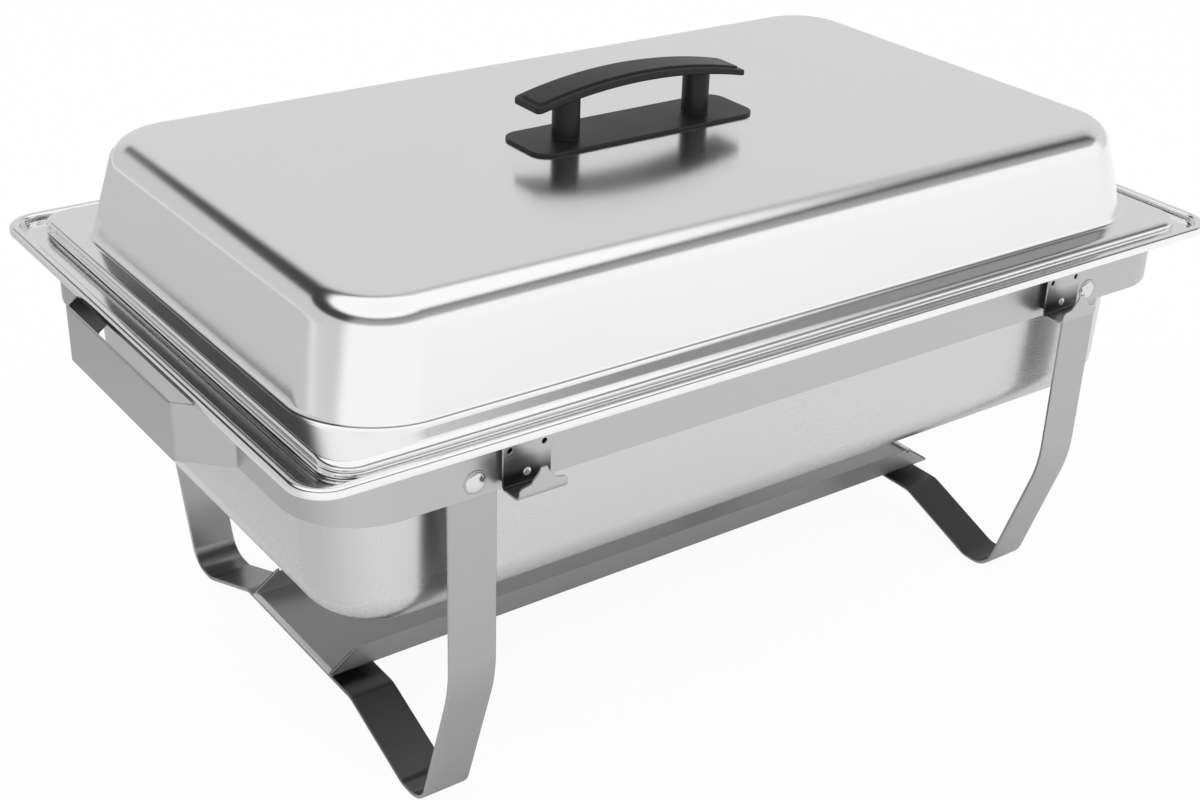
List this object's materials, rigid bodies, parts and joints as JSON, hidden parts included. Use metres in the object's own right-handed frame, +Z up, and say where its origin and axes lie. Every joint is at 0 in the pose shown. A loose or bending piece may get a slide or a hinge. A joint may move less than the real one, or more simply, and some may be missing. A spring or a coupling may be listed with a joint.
{
  "type": "chafer",
  "caption": "Full-size food warmer: domed cover, food pan and water pan on a folding steel frame with end handles, cover hooks and a fuel shelf.",
  "frame": {"origin": "middle of the bounding box's bottom face, on the table the feet stand on", "axes": "+X along the length to the right, +Y from the front with the cover hooks to the back, +Z up"},
  "size_m": [0.58, 0.3462, 0.303],
  "materials": {
    "stainless_sheet": "polished",
    "stainless_strip": "satin",
    "fasteners": "polished",
    "black_plastic": "matte"
  },
  "bodies": {
    "frame": {"front_rail": "stainless_strip", "back_rail": "stainless_strip", "left_end_handle": "stainless_strip", "right_end_handle": "stainless_strip", "lid_hook_left": "stainless_strip", "lid_hook_right": "stainless_strip", "hook_rivets": "fasteners", "left_leg_rivets": "fasteners", "right_leg_rivets": "fasteners"},
    "left_leg": {"left_leg": "stainless_strip"},
    "right_leg": {"right_leg": "stainless_strip"},
    "shelf": {"fuel_shelf": "stainless_strip"},
    "water_pan": {"water_pan": "stainless_sheet"},
    "food_pan": {"food_pan": "stainless_sheet"},
    "cover": {"lid_shell": "stainless_sheet", "handle_base_plate": "black_plastic", "handle_post_left": "black_plastic", "handle_post_right": "black_plastic", "handle_grip": "black_plastic", "handle_screws": "fasteners", "handle_washers": "fasteners"}
  },
  "joints": [
    {"name": "left_leg_fold", "type": "hinge", "parent": "frame", "child": "left_leg", "pos_m": [-0.195, 0.0013, 0.1913], "axis": [0, -1, 0], "range_deg": [0, 90]},
    {"name": "right_leg_fold", "type": "hinge", "parent": "frame", "child": "right_leg", "pos_m": [0.195, 0.0013, 0.1913], "axis": [0, 1, 0], "range_deg": [0, 90]},
    {"name": "shelf_lift", "type": "slide", "parent": "frame", "child": "shelf", "axis": [0, 0, 1], "range_m": [0, 0.189]},
    {"name": "water_pan_lift", "type": "slide", "parent": "frame", "child": "water_pan", "axis": [0, 0, 1], "range_m": [0, 0.189]},
    {"name": "food_pan_lift", "type": "slide", "parent": "water_pan", "child": "food_pan", "axis": [0, 0, 1], "range_m": [0, 0.12]},
    {"name": "cover_lift", "type": "slide", "parent": "food_pan", "child": "cover", "axis": [0, 0, 1], "range_m": [0, 0.15]}
  ],
  "couplings": [
    {"joint": "right_leg_fold", "follows": "left_leg_fold", "ratio": 1},
    {"joint": "shelf_lift", "follows": "left_leg_fold", "m_per_rad": 0.12},
    {"joint": "water_pan_lift", "follows": "left_leg_fold", "m_per_rad": 0.12}
  ]
}
